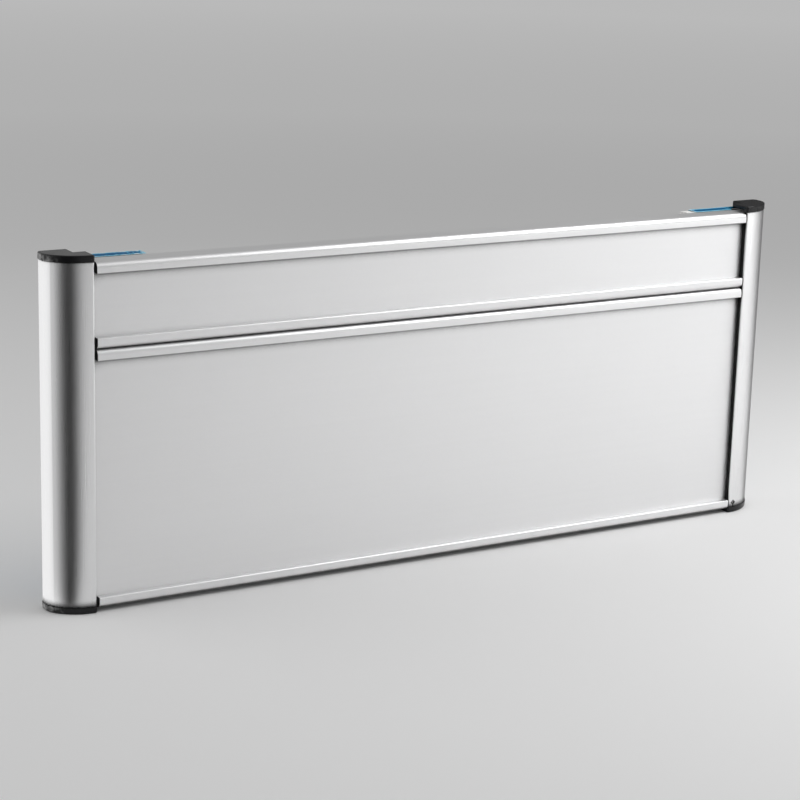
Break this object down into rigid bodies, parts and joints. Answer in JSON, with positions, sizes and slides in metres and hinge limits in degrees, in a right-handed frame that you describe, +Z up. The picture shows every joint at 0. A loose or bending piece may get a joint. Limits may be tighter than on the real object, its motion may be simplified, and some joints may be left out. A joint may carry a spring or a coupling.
{
  "type": "office door sign",
  "caption": "Modular aluminium door sign: stacked panels with recessed faces between raised rails, held in quarter-round posts with plastic end caps, and adhesive foam strips behind.",
  "frame": {"origin": "middle of the bounding box at its bottom, on the surface that the bottom caps stand on", "axes": "+X along the sign to the viewer's right, +Y from the front towards the door, +Z up"},
  "size_m": [0.3034, 0.0148, 0.1249],
  "materials": {
    "satin_aluminium": "satin anodised, natural silver",
    "black_plastic": "moulded, semi-gloss",
    "white_foam": "closed-cell adhesive foam",
    "blue_film": "smooth release film"
  },
  "bodies": {
    "root": {"upper_panel": "satin_aluminium", "lower_panel": "satin_aluminium", "left_post": "satin_aluminium", "right_post": "satin_aluminium", "top_left_cap": "black_plastic", "top_right_cap": "black_plastic", "bottom_left_cap": "black_plastic", "bottom_right_cap": "black_plastic", "left_foam_tape": "white_foam", "right_foam_tape": "white_foam", "left_tape_liner": "blue_film", "right_tape_liner": "blue_film"}
  },
  "joints": []
}
